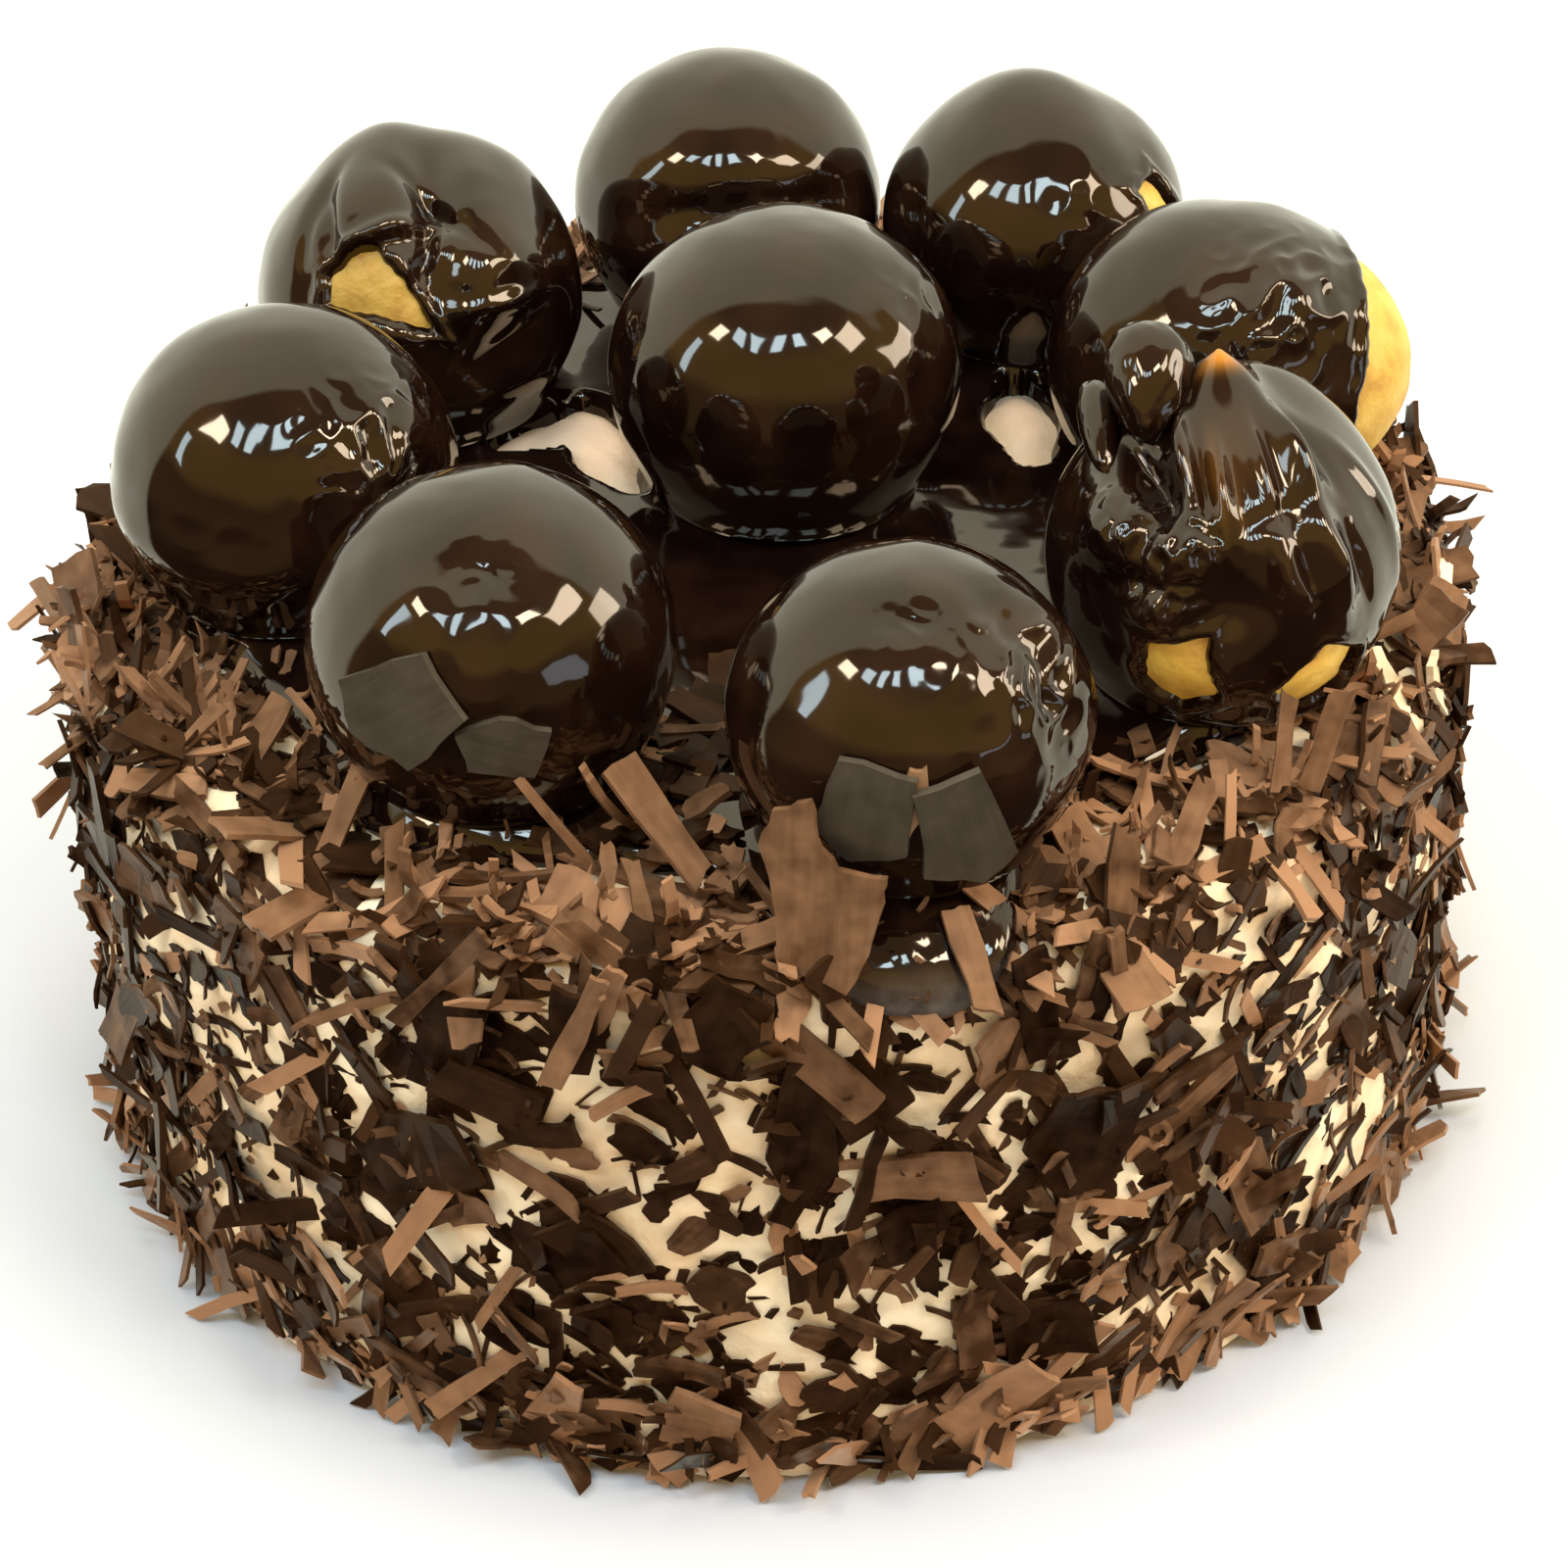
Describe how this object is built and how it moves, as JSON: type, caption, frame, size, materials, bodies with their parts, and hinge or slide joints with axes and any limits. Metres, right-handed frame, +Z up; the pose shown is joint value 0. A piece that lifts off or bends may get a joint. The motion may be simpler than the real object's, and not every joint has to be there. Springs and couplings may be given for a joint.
{
  "type": "profiterole cake",
  "caption": "Round cream cake coated with chocolate flakes, topped with a pool of chocolate glaze and a ring of glazed choux buns round a middle one.",
  "frame": {"origin": "middle of the flat base, on the surface the cake stands on", "axes": "+Z up through the middle of the cake, -Y towards the front with the leaning shard"},
  "size_m": [0.2099, 0.2115, 0.1429],
  "materials": {
    "cream_and_flakes": "soft matte cream pressed with milk chocolate flakes",
    "chocolate_glaze": "wet mirror gloss dark chocolate",
    "chocolate": "satin milk chocolate",
    "glazed_choux": "wet mirror gloss dark chocolate over golden choux"
  },
  "bodies": {
    "root": {"cake": "cream_and_flakes", "chocolate_glaze": "chocolate_glaze", "chocolate_shard": "chocolate", "profiterole_back": "glazed_choux", "profiterole_back_right": "glazed_choux", "profiterole_back_left": "glazed_choux", "profiterole_right": "glazed_choux", "profiterole_left": "glazed_choux", "profiterole_centre": "glazed_choux", "profiterole_front_left": "glazed_choux", "profiterole_front": "glazed_choux", "profiterole_front_right": "glazed_choux"}
  },
  "joints": []
}
